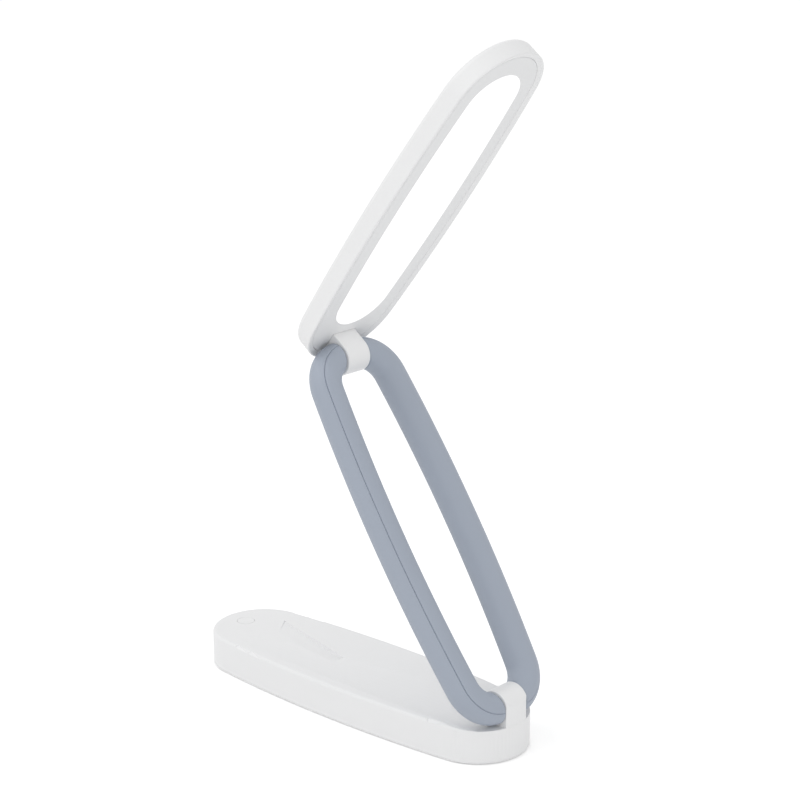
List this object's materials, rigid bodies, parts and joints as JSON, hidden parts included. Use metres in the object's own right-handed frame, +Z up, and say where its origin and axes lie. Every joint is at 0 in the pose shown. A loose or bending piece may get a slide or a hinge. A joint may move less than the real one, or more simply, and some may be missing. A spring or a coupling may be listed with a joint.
{
  "type": "folding desk lamp",
  "caption": "Folding desk lamp: a long oval base, a ring arm of round tube on a hinge lug and a long oval head with a flat lit panel, hinged at both ends of the arm.",
  "frame": {"origin": "middle of the base's bottom, on the surface that the lamp stands on", "axes": "+Z up, +X along the base to its hinged end, +Y across the base, along the hinge axes"},
  "size_m": [0.2, 0.067, 0.3407],
  "materials": {
    "shell": "smooth satin white plastic",
    "face": "satin white plastic round the light",
    "arm": "satin blue-grey plastic",
    "lit": "frosted diffuser, lit",
    "clear": "clear acrylic light guide",
    "sheet": "white reflector film",
    "underside": "dark plastic",
    "pad": "soft anti-slip pad",
    "steel": "plain steel",
    "bush": "low-friction bearing plastic",
    "foil": "foil-wrapped cell",
    "board": "circuit board",
    "chip": "moulded components",
    "foam": "conductive foam",
    "cable": "cable jacket",
    "strip": "white strip board",
    "led": "light-emitting chips"
  },
  "bodies": {
    "base": {"base_shell": "shell", "base_cover": "underside", "base_pad": "pad", "base_screws": "steel", "ballast_plate": "steel", "battery": "foil", "control_board": "board", "board_parts": "chip", "board_screws": "steel", "usb_socket": "steel", "touch_key": "face", "touch_foam": "foam", "base_cable": "cable", "base_bush": "bush"},
    "arm": {"limb_near_upper": "arm", "limb_near_lower": "arm", "limb_far_upper": "arm", "limb_far_lower": "arm", "arm_cable": "cable", "base_shaft": "steel", "base_washer": "steel", "base_nut": "steel", "head_shaft": "steel", "head_washer": "steel", "head_nut": "steel"},
    "head": {"head_housing": "shell", "head_frame": "face", "diffuser": "lit", "light_guide": "clear", "reflector_sheet": "sheet", "led_strips": "strip", "led_chips": "led", "head_cable": "cable", "head_bush": "bush"}
  },
  "joints": [
    {"name": "base_hinge", "type": "hinge", "parent": "base", "child": "arm", "pos_m": [0.0914, 0, 0.0256], "axis": [0, 1, 0], "range_deg": [-52.1, 33.7]},
    {"name": "head_hinge", "type": "hinge", "parent": "arm", "child": "head", "pos_m": [-0.01074, 0, 0.17865], "axis": [0, 1, 0], "range_deg": [-60.6, 108.8]}
  ]
}
